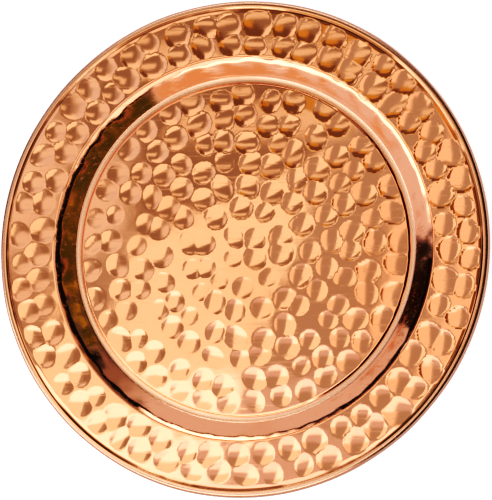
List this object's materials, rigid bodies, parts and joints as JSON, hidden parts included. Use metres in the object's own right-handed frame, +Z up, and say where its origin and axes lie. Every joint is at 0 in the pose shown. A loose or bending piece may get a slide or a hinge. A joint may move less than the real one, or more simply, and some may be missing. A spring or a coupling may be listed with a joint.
{
  "type": "hammered copper tray",
  "caption": "Round shallow serving tray of hammered copper with a flat dimpled base, a plain sloping wall, a wide dimpled flange and a wired rolled edge.",
  "frame": {"origin": "on the tray's axis, in the plane of the flat under the foot crease that the tray stands on", "axes": "+Z up along the tray's axis, towards its open side; the tray is round, so +X and +Y are free, and the wire's butted ends are at +Y"},
  "size_m": [0.3299, 0.33, 0.015],
  "materials": {
    "hammered_copper": "bright hand-polished copper, hammered in overlapping round facets",
    "steel_wire": "drawn mild steel wire, dull grey"
  },
  "bodies": {
    "root": {"tray_sheet": "hammered_copper", "rim_wire": "steel_wire"}
  },
  "joints": []
}
